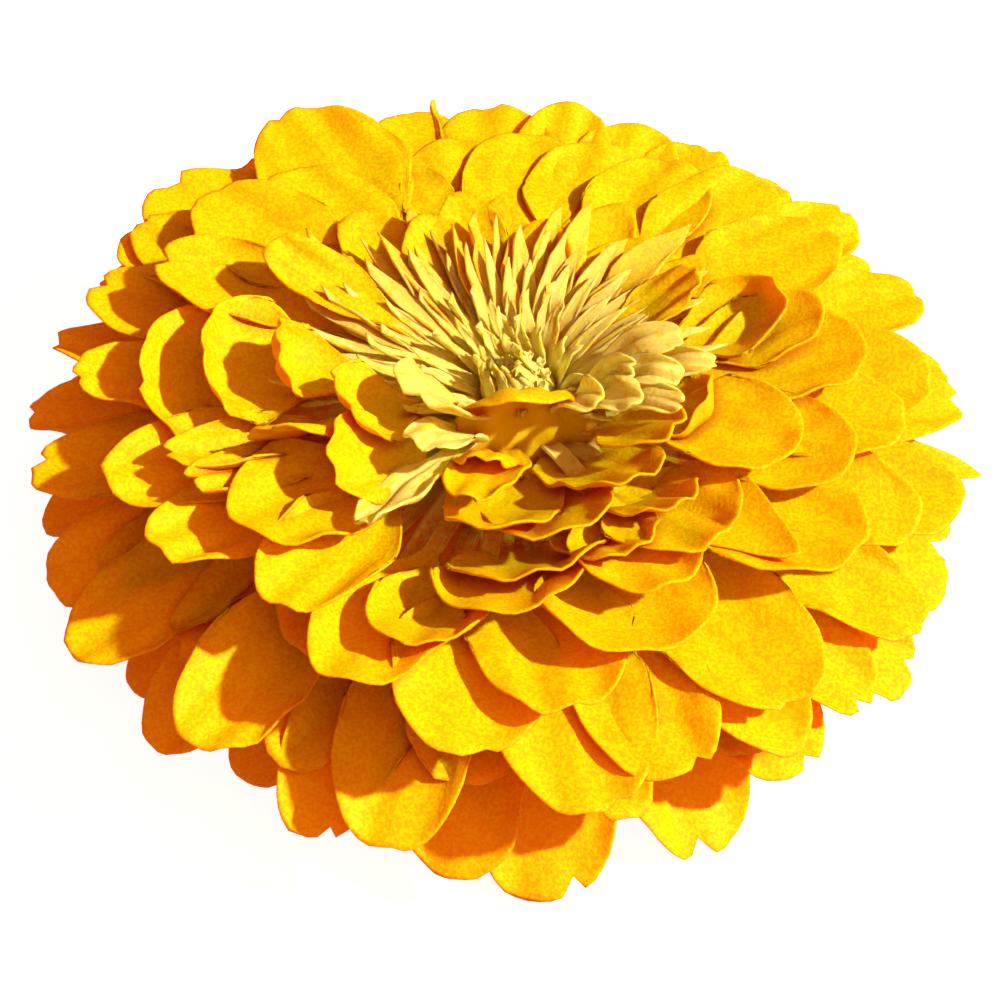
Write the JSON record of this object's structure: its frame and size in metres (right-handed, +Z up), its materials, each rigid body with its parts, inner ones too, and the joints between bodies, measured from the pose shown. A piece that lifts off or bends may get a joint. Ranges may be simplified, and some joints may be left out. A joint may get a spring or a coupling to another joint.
{
  "type": "zinnia flower",
  "caption": "Fully double zinnia head, picked flush below its bracts and resting face up: layered broad petals round a small middle over a scaly green cup.",
  "frame": {"origin": "on the flat cut spot below the bracts, where the head rests", "axes": "+Z up out of the head, -Y the front side that the head nods to, +X to the right"},
  "size_m": [0.1104, 0.1042, 0.0423],
  "materials": {
    "petal": "soft satin petal, golden yellow, paler at the claws",
    "bract": "matt green bract with a dark thin edge",
    "floret": "matt pale greenish yellow"
  },
  "bodies": {
    "root": {"petals": "petal", "calyx": "bract", "centre": "floret"}
  },
  "joints": []
}
